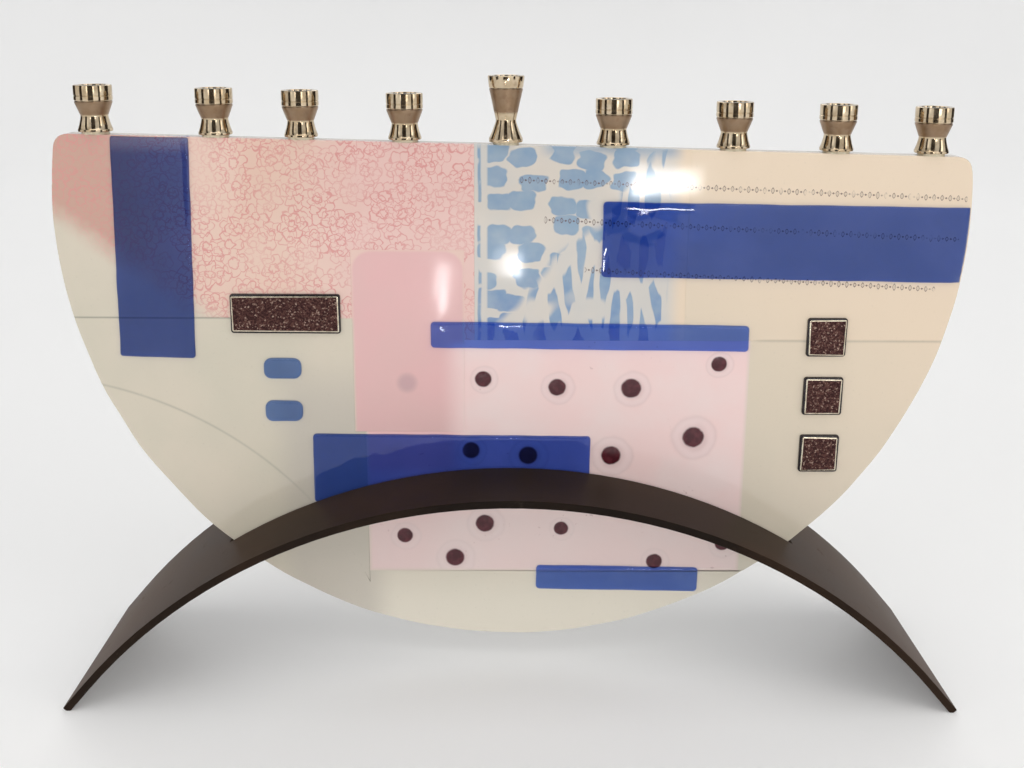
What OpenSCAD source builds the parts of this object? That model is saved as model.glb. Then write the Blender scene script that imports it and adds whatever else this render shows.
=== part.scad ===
// Nine-light menorah: a fused glass half disc that stands in the slot of an arched metal bar.
// Millimetres, +Z up. The origin is on the table, under the crown of the arch.
// X runs along the row of candles, and -Y is the decorated face.

/* [Stand] */
// Width of the flat bar that the arch is bent from
bar_w = 76.2; // [50:0.1:110]
// Thickness of the flat bar
bar_t = 3; // [2:0.5:5]
// Outer radius of the bend
arch_r = 218; // [200:1:270]
// Angle from the crown to where each leg turns straight
arch_half_angle = 49.8; // [46:0.2:54]
// Length of the straight end of each leg
leg_tail = 14; // [5:1:30]
// Height ground off each foot, so that it stands on a flat land
foot_trim = 0.8; // [0.4:0.1:1.5]

/* [Glass body] */
// Radius of the round glass that the panel is cut from
glass_r = 176.5; // [168:0.5:215]
// Height of the lowest point of the glass above the table
glass_lift = 14; // [8:0.5:30]
// Thickness of the back sheet
back_t = 5; // [3:0.5:8]
// Thickness of the mosaic layer fused to its face
front_t = 3; // [2:0.5:5]
// Height of the cut top edge above the centre of the round, at mid width
top_rise = 28.5; // [10:0.5:60]
// How far the top edge falls towards the right, in degrees
top_fall = 1.2; // [0:0.1:3]
// Radius ground on the two top corners
corner_r = 6; // [2:0.5:12]
// Gap left between neighbouring tiles of the mosaic
seam = 0.2; // [0.1:0.05:0.5]

/* [Mosaic, from the centre of the round] */
// Joint between the floral panel and the leaf panel
floral_right = -15; // [-40:0.5:20]
// Lower edge of the floral panel
floral_bottom = -40; // [-60:0.5:-20]
// Right edge of the leaf panel
leaf_right = 67.5; // [45:0.5:90]
// Joint under the shelf strip, where the leaf panel meets the dotted panel
shelf_joint = -48.5; // [-52:0.5:-45]
// Left edge of the dotted panel
dotted_left = -58.5; // [-62:0.5:-45]
// Right edge of the dotted panel
dotted_right = 94; // [80:0.5:100]
// Lower edge of the dotted panel
dotted_bottom = -148; // [-150:0.5:-120]
// Left edge of the pink panel
pink_left = -63; // [-75:0.5:-50]
// Right edge of the pink panel
pink_right = -19; // [-30:0.5:-17]
// Upper edge of the pink panel
pink_top = -12.5; // [-30:0.5:0]
// Lower edge of the pink panel
pink_bottom = -87; // [-100:0.5:-70]
// Radius of the swept seam at the lower left
sweep_r = 153.5; // [140:0.5:165]

/* [Blue strips] */
// Width of the three broad strips
broad_w = 29.5; // [20:0.5:36]
// Width of the two narrow strips
narrow_w = 10.6; // [6:0.2:14]
// How far every strip and chip stands out of the face
strip_proud = 1.2; // [0.6:0.1:2]
// Where the upright strip stands
left_strip_x = -139.8; // [-150:0.2:-120]
// Lower end of the upright strip
left_strip_end = -56; // [-80:0.5:-30]
// Where the right strip starts, before it runs off the edge of the glass
right_strip_start = 34.5; // [10:0.5:90]
// Height of the right strip
right_strip_v = -8; // [-15:0.5:0]
// Length of the shelf strip
shelf_strip_l = 125.6; // [90:0.2:140]
// Middle of the shelf strip
shelf_strip_x = 30.4; // [10:0.2:45]
// Length of the middle strip
middle_strip_l = 111.6; // [80:0.2:120]
// Middle of the middle strip
middle_strip_x = -24.3; // [-35:0.2:-10]
// Height of the middle strip
middle_strip_v = -103; // [-108:0.5:-98]
// Length of the bottom strip
bottom_strip_l = 67; // [40:0.5:80]
// Middle of the bottom strip
bottom_strip_x = 43.7; // [20:0.1:55]
// Height of the bottom strip
bottom_strip_v = -151; // [-154:0.5:-140]
// Width of a chip
chip_w = 14.8; // [8:0.2:20]
// Height of a chip
chip_h = 8.6; // [5:0.2:12]
// Where the two chips stand
chip_x = -91; // [-100:0.5:-75]
// Height of the upper chip
chip_v = -60.5; // [-66:0.5:-55]
// Step down to the lower chip
chip_pitch = 17.8; // [15:0.2:22]

/* [Metallic tiles] */
// How far a metallic tile stands out of the face
tile_proud = 1.6; // [1:0.1:2.5]
// Side of a square tile
tile_w = 15.7; // [10:0.1:20]
// Where the column of squares stands
tile_x = 123.7; // [110:0.1:130]
// Height of the uppermost square
tile_v = -46.8; // [-50:0.1:-40]
// Step from one square down to the next
tile_pitch = 24.3; // [21:0.1:28]
// Length of the long bar
metal_bar_l = 43; // [25:0.5:50]
// Height of the long bar
metal_bar_h = 15.9; // [10:0.1:20]
// Middle of the long bar
metal_bar_x = -88.9; // [-95:0.1:-80]
// Height of the middle of the long bar
metal_bar_v = -38; // [-42:0.1:-30]

/* [Dark dots] */
// How far a dot stands out of the face
dot_proud = 0.3; // [0.2:0.05:0.6]

/* [Candle cups] */
// Radius of the candle hole, the same in every cup
candle_r = 4.9; // [4:0.1:6.2]
// Depth of the candle hole in an outer cup
cup_hole_depth = 8; // [5:0.5:9]
// Wall round the candle hole at the rim
rim_wall = 2.1; // [1.6:0.1:3]
// Height of the straight band at the top of an outer cup
band_h = 6; // [4:0.2:8]
// Height of the cone below the band
cone_h = 5.7; // [4:0.1:8]
// Height of the flared foot
foot_h = 5.8; // [4:0.1:9]
// Radius of the waist of an outer cup
waist_r = 5; // [4:0.1:6]
// Radius of the foot of every cup
foot_r = 6.35; // [5.5:0.05:8]
// Depth of the candle hole in the helper cup
helper_hole_depth = 7; // [5:0.5:7.5]
// Height of the band at the top of the helper cup
helper_band_h = 5; // [4:0.2:8]
// Height of the long cone of the helper cup
helper_cone_h = 12; // [8:0.2:20]
// Height of the foot of the helper cup
helper_foot_h = 8; // [5:0.2:12]
// Radius of the waist of the helper cup
helper_waist_r = 3.9; // [3:0.1:5]
// Height of the glue bead under each cup
glue_t = 0.5; // [0.4:0.05:1]
// Radius of the glue bead
glue_r = 5.2; // [3.5:0.1:6]
// Where the helper cup stands
helper_x = -3; // [-15:0.5:15]

/* [Fits] */
// Space between the edge of the glass and the ends of the slot
seat_gap = 0.3; // [0.3:0.05:1]
// Space between the face of the slot and what passes through it
slot_gap = 0.6; // [0.4:0.05:1.5]

/* [Hidden] */
OUTER_CUPS = [for (i = [1:8]) str("candle_cup_", i)];
METAL_TILES = ["metal_tile_upper", "metal_tile_middle", "metal_tile_lower"];

// Places of the outer cups along the top edge, from left to right
CUP_X = [-159, -113.5, -81, -41.5, 38, 84, 123.5, 160];
// Each dark dot: place along X, height from the centre of the round, radius
DOTS = [
    [-11.6, -64.7, 3.3], [17.8, -68, 3.5], [47.3, -68.3, 4.1], [81.9, -58.1, 3.1],
    [72.9, -88.9, 4.4], [40, -96.8, 4], [-10.9, -126.7, 3.8], [-43.7, -132.1, 3.2],
    [20.3, -128.8, 2.9], [-23.2, -141.9, 3.9], [59, -143.5, 3.3], [86.8, -135.3, 3.1]
];
// Turn of each strip as it was laid, in degrees
left_strip_turn = -1.4;
right_strip_turn = -0.7;
shelf_strip_turn = -0.6;
middle_strip_turn = -0.4;
bottom_strip_turn = -0.9;
// Longer than anything in the panel
far = 450;
// Steps along the outline of the round and along a ground corner
round_steps = 120;
corner_steps = 6;
// Centre of the seam that sweeps across the lower left
sweep_centre = [-198, -217];
// Depth of the drill point at the bottom of a candle hole
drill_point = 1.2;

// The bend of the stand: its centre height puts the trimmed inner corner of each leg on the table
arch_end = arch_r * [sin(arch_half_angle), cos(arch_half_angle)]
    + leg_tail * [cos(arch_half_angle), -sin(arch_half_angle)]
    - bar_t * [sin(arch_half_angle), cos(arch_half_angle)];
arch_z = -arch_end[1] - foot_trim;

glass_t = back_t + front_t;
face_y = -glass_t / 2;
back_y = glass_t / 2;
glass_z = glass_lift + glass_r;
slot_w = 2 * (glass_t / 2 + max(strip_proud, tile_proud, dot_proud) + slot_gap);

// The ground top corners: each is an arc that touches the round and the top edge
edge_up = [sin(top_fall), cos(top_fall)];
edge_along = [cos(top_fall), -sin(top_fall)];
edge_height = top_rise * cos(top_fall) - corner_r;
edge_reach = sqrt(pow(glass_r - corner_r, 2) - pow(edge_height, 2));
right_corner = edge_up * edge_height + edge_along * edge_reach;
left_corner = edge_up * edge_height - edge_along * edge_reach;
right_touch = atan2(right_corner[1], right_corner[0]);
left_touch = atan2(left_corner[1], left_corner[0]);
edge_angle = 90 - top_fall;
panel_outline = concat(
    arc([0, 0], glass_r, left_touch, right_touch + 360, 1, round_steps - 1, round_steps),
    arc(right_corner, corner_r, right_touch, edge_angle, 0, corner_steps, corner_steps),
    arc(left_corner, corner_r, edge_angle, left_touch, 0, corner_steps, corner_steps)
);

// Points first to last of an arc that is cut in steps
function arc(centre, r, from, to, first, last, steps) = [
    for (i = [first:last])
        let (a = from + (to - from) * i / steps)
            centre + r * [cos(a), sin(a)]
];

// Height of the cut top edge at a place along X
function top_z(x) = glass_z + top_rise - x * tan(top_fall);

// Height at which the foot of a cup stands
function cup_z(x) = top_z(x) + glue_t;

// A flat outline in X and Z, grown between two depths
module slab(front, back) {
    translate([0, back, 0])
        rotate([90, 0, 0])
            linear_extrude(back - front)
                children();
}

// An upright rectangle between its four sides, half a seam inside them
module area(left, right, bottom, top) {
    translate([left + seam / 2, bottom + seam / 2])
        square([right - left - seam, top - bottom - seam]);
}

// A strip of a given size laid at a place, with its turn
module laid(x, v, w, h, turn = 0) {
    translate([x, v])
        rotate(turn)
            square([w, h], center = true);
}

// One tile of the mosaic, cut by the outline of the round
module front_tile() {
    slab(face_y, face_y + front_t)
        translate([0, glass_z])
            intersection() {
                polygon(panel_outline);
                children();
            }
}

// One piece fused on top of the face
module on_face(proud) {
    slab(face_y - proud, face_y)
        translate([0, glass_z])
            intersection() {
                polygon(panel_outline);
                children();
            }
}

// The pink panel's rectangle with half a seam round it, for what lies next to it
module pink_pocket() {
    translate([pink_left - seam / 2, pink_bottom - seam / 2])
        square([pink_right - pink_left + seam, pink_top - pink_bottom + seam]);
}

module bottom_strip_area() {
    laid(bottom_strip_x, bottom_strip_v, bottom_strip_l, narrow_w, bottom_strip_turn);
}

// One leg's straight end, from where the bend stops
module leg_end() {
    rotate([0, arch_half_angle, 0])
        translate([0, -bar_w / 2, arch_r - bar_t])
            cube([leg_tail, bar_w, bar_t]);
}

// The bent bar about the axis of its bend: a part of a ring with a straight leg at each end
module bent_bar() {
    rotate([90, 0, 0])
        rotate([0, 0, 90 - arch_half_angle])
            rotate_extrude(angle = 2 * arch_half_angle, $fn = 256)
                translate([arch_r - bar_t, -bar_w / 2])
                    square([bar_t, bar_w]);
    leg_end();
    mirror([1, 0, 0])
        leg_end();
}

module stand_arch() {
    color([0.13, 0.12, 0.115])
        difference() {
            translate([0, 0, arch_z])
                bent_bar();
            // The slot is the path of the round glass, and its ends are the glass's seat
            translate([0, slot_w / 2, glass_z])
                rotate([90, 0, 0])
                    cylinder(h = slot_w, r = glass_r + seat_gap, $fn = 256);
            // The flat land under each foot
            translate([-far, -bar_w, -bar_w])
                cube([2 * far, 2 * bar_w, bar_w]);
        }
}

module back_sheet() {
    color([0.86, 0.84, 0.78])
        slab(face_y + front_t, back_y)
            translate([0, glass_z])
                polygon(panel_outline);
}

module floral_panel() {
    color([0.90, 0.80, 0.77])
        front_tile()
            difference() {
                union() {
                    area(-far, floral_right, floral_bottom, far);
                    area(pink_right, floral_right, shelf_joint, far);
                }
                pink_pocket();
            }
}

module pink_panel() {
    color([0.88, 0.71, 0.71])
        front_tile()
            area(pink_left, pink_right, pink_bottom, pink_top);
}

module dotted_panel() {
    color([0.87, 0.76, 0.78])
        front_tile()
            difference() {
                area(dotted_left, dotted_right, dotted_bottom, shelf_joint);
                pink_pocket();
            }
}

module leaf_panel() {
    color([0.62, 0.74, 0.82])
        front_tile()
            area(floral_right, leaf_right, shelf_joint, far);
}

module cream_panel_right() {
    color([0.84, 0.81, 0.75])
        front_tile()
            area(leaf_right, far, shelf_joint, far);
}

module cream_panel_side() {
    color([0.84, 0.82, 0.76])
        front_tile()
            area(dotted_right, far, dotted_bottom, shelf_joint);
}

module cream_panel_left() {
    color([0.82, 0.80, 0.75])
        front_tile()
            difference() {
                area(-far, dotted_left, -far, floral_bottom);
                pink_pocket();
                translate(sweep_centre)
                    circle(sweep_r + seam / 2, $fn = 256);
            }
}

module cream_panel_lower() {
    color([0.84, 0.82, 0.76])
        front_tile()
            difference() {
                union() {
                    area(dotted_left, far, -far, dotted_bottom);
                    translate(sweep_centre)
                        circle(sweep_r - seam / 2, $fn = 256);
                }
                translate([dotted_left - seam / 2, dotted_bottom - seam / 2])
                    square([far, far]);
            }
}

module blue_strip_left() {
    color([0.20, 0.31, 0.66])
        on_face(strip_proud)
            translate([left_strip_x, left_strip_end])
                rotate(left_strip_turn)
                    translate([-broad_w / 2, 0])
                        square([broad_w, far]);
}

module blue_strip_right() {
    color([0.22, 0.34, 0.70])
        on_face(strip_proud)
            translate([right_strip_start, right_strip_v])
                rotate(right_strip_turn)
                    translate([0, -broad_w / 2])
                        square([far, broad_w]);
}

module blue_strip_shelf() {
    color([0.18, 0.28, 0.62])
        on_face(strip_proud)
            laid(shelf_strip_x, shelf_joint + 1.5, shelf_strip_l, narrow_w, shelf_strip_turn);
}

module blue_strip_middle() {
    color([0.17, 0.22, 0.55])
        on_face(strip_proud)
            laid(middle_strip_x, middle_strip_v, middle_strip_l, broad_w, middle_strip_turn);
}

module blue_strip_bottom() {
    color([0.20, 0.32, 0.68])
        on_face(strip_proud)
            bottom_strip_area();
}

module blue_chip(v) {
    color([0.32, 0.48, 0.78])
        on_face(strip_proud)
            laid(chip_x, v, chip_w, chip_h);
}

// The dots that no strip hides; the bottom strip laps over the edge of one of them
module dark_dots() {
    color([0.33, 0.17, 0.23])
        difference() {
            for (dot = DOTS)
                translate([dot[0], face_y, glass_z + dot[1]])
                    rotate([90, 0, 0])
                        cylinder(h = dot_proud, r = dot[2], $fn = 48);
            slab(face_y - 2 * dot_proud, face_y + dot_proud)
                translate([0, glass_z])
                    bottom_strip_area();
        }
}

module metal_tile(step) {
    color([0.42, 0.33, 0.36])
        on_face(tile_proud)
            laid(tile_x, tile_v - step * tile_pitch, tile_w, tile_w);
}

module metal_bar() {
    color([0.42, 0.33, 0.36])
        on_face(tile_proud)
            laid(metal_bar_x, metal_bar_v, metal_bar_l, metal_bar_h);
}

// A turned cup at a place along the top edge: a profile spun round, and a drilled candle hole
module turned_cup(x, profile, height, hole_depth) {
    color([0.80, 0.72, 0.55])
        translate([x, 0, cup_z(x)])
            difference() {
                rotate_extrude($fn = 96)
                    polygon(profile);
                translate([0, 0, height - hole_depth])
                    cylinder(h = hole_depth + 1, r = candle_r, $fn = 64);
                translate([0, 0, height - hole_depth - drill_point])
                    cylinder(h = drill_point, r1 = 0, r2 = candle_r, $fn = 64);
            }
}

module candle_cup(x) {
    height = foot_h + cone_h + band_h;
    rim_r = candle_r + rim_wall;
    turned_cup(
        x,
        [
            [0, 0], [foot_r, 0], [foot_r, 1],
            [waist_r, foot_h],
            [rim_r, foot_h + cone_h],
            [rim_r, height], [0, height]
        ],
        height,
        cup_hole_depth
    );
}

module helper_cup() {
    height = helper_foot_h + helper_cone_h + helper_band_h;
    rim_r = candle_r + rim_wall;
    turned_cup(
        helper_x,
        [
            [0, 0], [foot_r, 0], [foot_r, 1.5],
            [helper_waist_r, helper_foot_h],
            [rim_r - 0.5, helper_foot_h + helper_cone_h],
            [rim_r, height], [0, height]
        ],
        height,
        helper_hole_depth
    );
}

// A bead under each cup, level on top and following the sloping edge below
module glue_beads() {
    above_edge = [
        [-far, top_z(-far)], [far, top_z(far)],
        [far, glass_z + far], [-far, glass_z + far]
    ];
    color([0.80, 0.80, 0.76])
        intersection() {
            for (x = concat(CUP_X, [helper_x]))
                translate([x, 0, cup_z(x) - 2 * glue_t])
                    cylinder(h = 2 * glue_t, r = glue_r, $fn = 48);
            slab(-bar_w, bar_w)
                polygon(above_edge);
        }
}

stand_arch();
back_sheet();
floral_panel();
pink_panel();
dotted_panel();
leaf_panel();
cream_panel_right();
cream_panel_side();
cream_panel_left();
cream_panel_lower();
blue_strip_left();
blue_strip_right();
blue_strip_shelf();
blue_strip_middle();
blue_strip_bottom();
blue_chip(chip_v);  // blue_chip_upper
blue_chip(chip_v - chip_pitch);  // blue_chip_lower
dark_dots();
metal_bar();
helper_cup();
glue_beads();
for (i = [0:len(METAL_TILES) - 1])
    metal_tile(i);
for (i = [0:len(OUTER_CUPS) - 1])
    candle_cup(CUP_X[i]);
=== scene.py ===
# %% [markdown]
# # A fused glass menorah in its arched stand
# The object is a half disc of opal glass with a mosaic fused to its face. It stands in the
# slot of a bent metal bar, and nine small turned cups are glued along its top edge.
# The measured design comes in as a fixed frame, and each piece of it is given its looks here.

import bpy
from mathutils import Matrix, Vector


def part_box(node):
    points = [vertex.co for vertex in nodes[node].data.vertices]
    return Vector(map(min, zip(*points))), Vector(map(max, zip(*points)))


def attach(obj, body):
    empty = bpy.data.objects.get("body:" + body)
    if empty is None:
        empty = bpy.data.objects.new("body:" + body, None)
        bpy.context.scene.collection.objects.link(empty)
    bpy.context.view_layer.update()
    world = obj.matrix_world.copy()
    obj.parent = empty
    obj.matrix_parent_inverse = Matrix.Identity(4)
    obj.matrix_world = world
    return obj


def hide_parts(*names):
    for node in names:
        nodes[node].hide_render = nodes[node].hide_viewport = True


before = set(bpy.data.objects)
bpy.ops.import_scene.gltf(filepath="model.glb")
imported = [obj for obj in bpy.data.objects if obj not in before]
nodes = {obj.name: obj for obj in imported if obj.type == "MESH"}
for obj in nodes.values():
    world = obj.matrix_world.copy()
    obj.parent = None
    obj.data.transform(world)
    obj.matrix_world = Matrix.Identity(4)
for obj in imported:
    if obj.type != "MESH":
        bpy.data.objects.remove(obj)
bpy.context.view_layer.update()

# %% Tools of the trade
import math

import bmesh
import bpy
from mathutils import Matrix, Vector, noise

MM = 0.001
MM_PER_METRE = 1000.0
SAME_PLACE = 0.01 * MM  # places closer than this count as one
scene = bpy.context.scene
noise.seed_set(7)  # without it, the noise that uneven edges are drawn with differs in every run

# %% [markdown]
# The camera stands a little above the row of cups and looks slightly down at the glass.
# Its lens shift lowers the view, so that the camera hardly has to tilt and the sides of the
# glass don't lean towards each other.

# %% Camera
lens_length = 38.4
lens_shift = -0.1097
camera_place = Vector((-2.7, -417.6, 264.1)) * MM
look_down, look_right, horizon_roll = (math.radians(a) for a in (12.87, 0.32, 0.32))
camera_data = bpy.data.cameras.new("front_camera")
camera_data.sensor_width = 36
camera_data.lens = lens_length
camera_data.shift_y = lens_shift
camera = bpy.data.objects.new("front_camera", camera_data)
scene.collection.objects.link(camera)
camera.matrix_world = (
    Matrix.Translation(camera_place)
    @ Matrix.Rotation(-look_right, 4, "Z")
    @ Matrix.Rotation(math.pi / 2 - look_down, 4, "X")
    @ Matrix.Rotation(horizon_roll, 4, "Z")
)
scene.camera = camera
print("camera at", [round(v, 3) for v in camera_place])

# %% [markdown]
# Every length of the glass that the looks need is read from the frame: the radius of the
# round it was cut from, its centre, and the slope of its cut top edge. The slope comes from
# the feet of the first and last cup, because the cups stand on that edge.

# %% Measures of the glass
back_low, back_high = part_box("back_sheet")
tile_low, tile_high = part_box("pink_panel")
face_y = tile_low.y
joint_y = tile_high.y
back_y = back_high.y
round_r = (back_high.x - back_low.x) / 2
round_centre = Vector((0, 0, back_low.z + round_r))
first_low, first_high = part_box("candle_cup_1")
last_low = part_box("candle_cup_8")[0]
edge_slope = (last_low.z - first_low.z) / (last_low.x - first_low.x)
glue_height = 0.5 * MM


def cup_foot(x):
    """Height at which a cup stands at a place along the row."""
    return first_low.z + (x - (first_low.x + first_high.x) / 2) * edge_slope


def edge_top(x):
    """Height of the cut top edge of the glass at a place along the row."""
    return cup_foot(x) - glue_height


print("glass radius", round(round_r / MM, 1), "mm, centre height", round(round_centre.z / MM, 1))
print("top edge falls", round(math.degrees(math.atan(-edge_slope)), 2), "degrees to the right")

# %% [markdown]
# ## Shader maths
# A finish is a tree of nodes. Writing one is easier when numbers in it can be added and
# multiplied like numbers in Python, so a small class wraps a socket and every operator on it
# adds a Math node. Colours are only ever mixed, since a Math node would turn them grey.


# %% Levels: numbers that vary over a surface
class Level:
    """A number that varies over a surface. Sums and products of levels add Math nodes."""

    def __init__(self, finish, socket):
        self.finish = finish
        self.socket = socket

    def math(self, operation, first, second=0.0):
        made = self.finish.node("ShaderNodeMath", {"operation": operation}, {0: first, 1: second})
        return Level(self.finish, made.outputs[0])

    def __add__(self, other):
        return self.math("ADD", self, other)

    def __sub__(self, other):
        return self.math("SUBTRACT", self, other)

    def __rsub__(self, other):
        return self.math("SUBTRACT", other, self)

    def __mul__(self, other):
        return self.math("MULTIPLY", self, other)

    def __truediv__(self, other):
        return self.math("DIVIDE", self, other)

    __radd__ = __add__
    __rmul__ = __mul__

    def least(self, other):
        return self.math("MINIMUM", self, other)

    def most(self, other):
        return self.math("MAXIMUM", self, other)

    def size(self):
        return self.math("ABSOLUTE", self)

    def cosine(self):
        return self.math("COSINE", self)

    def root(self):
        return self.math("SQRT", self)

    def eased(self, low, high):
        """0 below low, 1 above high, and a smooth step between. low may be above high."""
        made = self.finish.node(
            "ShaderNodeMapRange",
            {"interpolation_type": "SMOOTHSTEP"},
            {"Value": self, "From Min": low, "From Max": high},
        )
        return Level(self.finish, made.outputs["Result"])


# %% Finishes: one material each
class Finish:
    """A material's node tree, with one method that makes any node."""

    def __init__(self, name):
        self.material = bpy.data.materials.new(name)
        self.material.use_nodes = True
        self.tree = self.material.node_tree
        self.tree.nodes.clear()
        self.place = self.node("ShaderNodeTexCoord").outputs["Object"]

    def node(self, kind, settings=None, inputs=None):
        made = self.tree.nodes.new(kind)
        for key, value in (settings or {}).items():
            setattr(made, key, value)
        for key, value in (inputs or {}).items():
            self.plug(made.inputs[key], value)
        return made

    def plug(self, socket, value):
        if isinstance(value, Level):
            value = value.socket
        if isinstance(value, bpy.types.NodeSocket):
            self.tree.links.new(value, socket)
        elif socket.type == "RGBA":
            socket.default_value = (*value, 1.0)
        else:
            socket.default_value = value

    def level(self, socket):
        return Level(self, socket)

    def kept(self, name):
        """A number that was kept on the vertices or faces of a mesh."""
        return self.level(self.node("ShaderNodeAttribute", {"attribute_name": name}).outputs["Fac"])

    def parts(self, vector):
        """The three parts of a vector or a colour."""
        made = self.node("ShaderNodeSeparateXYZ", None, {0: vector})
        return [self.level(made.outputs[i]) for i in range(3)]

    def along(self, where=None):
        """The three coordinates of a place, in millimetres."""
        return [part * MM_PER_METRE for part in self.parts(where or self.place)]

    def shifted_flat(self, offset):
        """The place seen from the front: across and up become the first two coordinates."""
        made = self.node(
            "ShaderNodeMapping",
            None,
            {"Vector": self.place, "Rotation": (-math.pi / 2, 0.0, 0.0),
             "Location": (offset[0] * MM, offset[1] * MM, 0.0)},
        )
        return made.outputs[0]

    def noise(self, grain, detail=2.0, where=None, roughness=0.5):
        """Cloudy noise whose blobs are about one grain across, in millimetres."""
        made = self.node(
            "ShaderNodeTexNoise",
            None,
            {"Vector": where or self.place, "Scale": MM_PER_METRE / grain,
             "Detail": detail, "Roughness": roughness},
        )
        return self.level(made.outputs["Fac"])

    def blend(self, share, first, second):
        """Colour between two colours."""
        made = self.node(
            "ShaderNodeMix",
            {"data_type": "RGBA"},
            {0: share, 6: first, 7: second},
        )
        return made.outputs[2]

    def bump(self, height, depth, under=None):
        """A normal bent by a height level; depth is the height of one unit, in millimetres."""
        inputs = {"Height": height, "Distance": depth * MM, "Strength": 1.0}
        if under is not None:
            inputs["Normal"] = under
        return self.node("ShaderNodeBump", None, inputs).outputs[0]

    def coat(self, inputs):
        """The Principled shader that carries the finish."""
        return self.node("ShaderNodeBsdfPrincipled", None, inputs)

    def done(self, shader):
        self.node("ShaderNodeOutputMaterial", None, {"Surface": shader.outputs[0]})
        print("finish", self.material.name, "with", len(self.tree.nodes), "nodes")
        return self.material


# %% [markdown]
# ## Copies of the designed solids
# Most of the glass has the right outline already, but sharp edges. A softened copy of each
# solid stands in for it. The design's solids are loose triangles, so a copy is merged first,
# and its flat triangles are joined into whole faces that a bevel can run along.

# %% Copying a solid and putting a piece on show
flat_within = math.radians(0.5)


def merged_copy(node):
    """A copy of a solid with its triangles merged and its flat faces whole."""
    mesh = bmesh.new()
    mesh.from_mesh(nodes[node].data)
    bmesh.ops.remove_doubles(mesh, verts=mesh.verts, dist=SAME_PLACE)
    bmesh.ops.dissolve_limit(mesh, angle_limit=flat_within, verts=mesh.verts, edges=mesh.edges)
    return mesh


def object_from(mesh, name, finish):
    """Turn a bmesh into an object with one smooth finish."""
    data = bpy.data.meshes.new(name)
    mesh.to_mesh(data)
    mesh.free()
    data.shade_smooth()
    data.materials.append(finish)
    made = bpy.data.objects.new(name, data)
    scene.collection.objects.link(made)
    return made


def show(mesh, name, body, finish, stands_for=(), crease=35, weighted=True):
    """Make a piece of the object that rides on a body and stands for its solids."""
    piece = object_from(mesh, name, finish)
    piece.data.set_sharp_from_angle(angle=math.radians(crease))
    if weighted:
        modifier = piece.modifiers.new("even_shading", "WEIGHTED_NORMAL")
        modifier.keep_sharp = True
    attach(piece, body)
    if stands_for:
        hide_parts(*stands_for)
    print("piece", name, "with", len(piece.data.polygons), "faces")


def bevel_edges(mesh, edges, width, segments):
    """Round chosen edges by a width in millimetres."""
    return bmesh.ops.bevel(
        mesh, geom=list(edges), offset=width * MM, offset_type="OFFSET", affect="EDGES",
        segments=segments, profile=0.5, material=-1, clamp_overlap=True,
    )


# %% [markdown]
# The rim of the glass is its round edge and its cut top edge. It was melted in the kiln, so
# it is round all the way, and it was broken by hand, so it wanders a little.
#
# Inside the rim, neighbouring sheets meet in seams. The design leaves a gap in each, which
# heat has closed. The higher seams keep a hair-fine groove, and the lowest flowed together.

# %% The rim of the glass
rim_round = 2.5
rim_wander = 0.5 * MM
rim_waves = 55  # waves of the wandering rim in a metre
rim_nearness = 0.3 * MM
corner_reach = 7 * MM
seam_gap = 0.2 * MM
seam_groove = 0.08
groove_reach = 0.6 * MM
flowed_together = 60 * MM


def rim_depth(place):
    """How far inside the rim a place is, and the way out to the rim from there."""
    spoke = Vector((place.x, 0, place.z - round_centre.z))
    inside = round_r - spoke.length
    upward = Vector((-edge_slope, 0, 1)).normalized()
    below = (edge_top(place.x) - place.z) * upward.z
    return (inside, spoke.normalized()) if inside < below else (below, upward)


def on_rim(place):
    """Whether a place is on the rim, the rounded corners at the ends of the row included."""
    inside = round_r - math.hypot(place.x, place.z - round_centre.z)
    below = edge_top(place.x) - place.z
    return min(inside, below) < rim_nearness or max(inside, below) < corner_reach


def rim_pull(place):
    """How far the hand-broken rim wanders in at a place: more here and less there."""
    return (0.5 + noise.noise(Vector((place.x, 0, place.z)) * rim_waves)) * rim_wander


def wander(mesh):
    """Pull the rim in by a fraction of a millimetre."""
    for vert in mesh.verts:
        if on_rim(vert.co):
            vert.co -= rim_depth(vert.co)[1] * rim_pull(vert.co)


def close_seams(mesh):
    """Move each side that meets another piece of glass out by half the gap between them."""
    moves = {}
    for face in mesh.faces:
        if abs(face.normal.y) < 0.1 and not all(on_rim(v.co) for v in face.verts):
            for vert in face.verts:
                known = moves.setdefault(vert, [])
                if all(face.normal.dot(other) < 0.94 for other in known):
                    known.append(face.normal.copy())
    for vert, normals in moves.items():
        for normal in normals:
            vert.co += normal * seam_gap / 2


def glass_copy(node, front):
    """A copy of a sheet of glass, its seams closed and its outer edge melted round."""
    mesh = merged_copy(node)
    close_seams(mesh)
    wander(mesh)
    outer = [
        edge for edge in mesh.edges
        if all(abs(vert.co.y - front) < SAME_PLACE and on_rim(vert.co) for vert in edge.verts)
        and on_rim((edge.verts[0].co + edge.verts[1].co) / 2)
    ]
    bevel_edges(mesh, outer, rim_round, 6)
    if front == face_y:
        seams = [
            edge for edge in mesh.edges
            if edge.calc_face_angle(0) > math.radians(50)
            and (edge.verts[0].co.y + edge.verts[1].co.y) / 2 < joint_y - groove_reach
            and min(abs(face.normal.y) for face in edge.link_faces) < 0.1
            and min(vert.co.z for vert in edge.verts) > flowed_together
        ]
        bevel_edges(mesh, seams, seam_groove, 1)
    return mesh


print("rim rounded by", rim_round, "mm, closing seams of", round(seam_gap / MM, 2), "mm")

# %% [markdown]
# ## The colours of the glass
# Colours are given as they would be picked on a screen, from 0 to 255, and turned into the
# linear values that shaders work with.


# %% Colours
def tone(red, green, blue):
    """A colour picked on a screen, as linear values."""

    def linear(value):
        value /= 255
        return value / 12.92 if value <= 0.04045 else ((value + 0.055) / 1.055) ** 2.4

    return tuple(linear(value) for value in (red, green, blue))


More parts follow.
